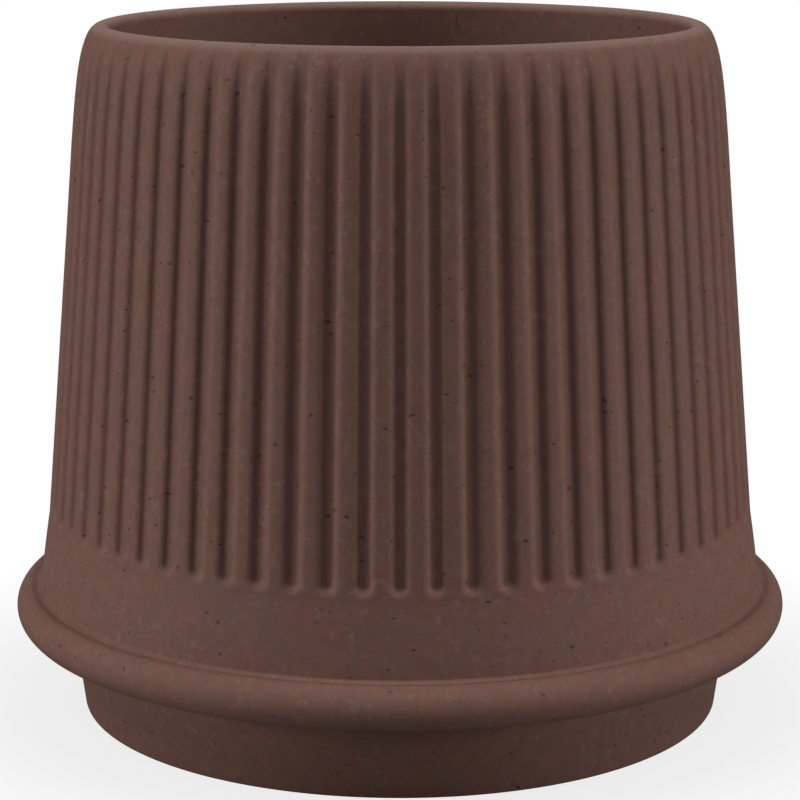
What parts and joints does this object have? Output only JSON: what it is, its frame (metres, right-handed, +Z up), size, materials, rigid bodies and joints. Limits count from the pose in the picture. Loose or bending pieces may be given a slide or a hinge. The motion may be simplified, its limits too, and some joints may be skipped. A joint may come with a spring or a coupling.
{
  "type": "plant pot with saucer",
  "caption": "Round fluted clay plant pot, wider at the base, with a rolled-in mouth and a drain hole, that lifts off a matching saucer with a thick round rim.",
  "frame": {"origin": "centre of the flat face under the saucer that the object rests on", "axes": "+Z up along the pot's axis, -Y towards the pictured front, where one flute faces the viewer"},
  "size_m": [0.2, 0.2, 0.1753],
  "materials": {
    "saucer_clay": "matte unglazed reddish brown clay",
    "pot_clay": "matte unglazed reddish brown clay"
  },
  "bodies": {
    "saucer": {"saucer": "saucer_clay"},
    "pot": {"pot": "pot_clay"}
  },
  "joints": [
    {"name": "pot_lift", "type": "slide", "parent": "saucer", "child": "pot", "axis": [0, 0, 1], "range_m": [0, 0.08]}
  ]
}
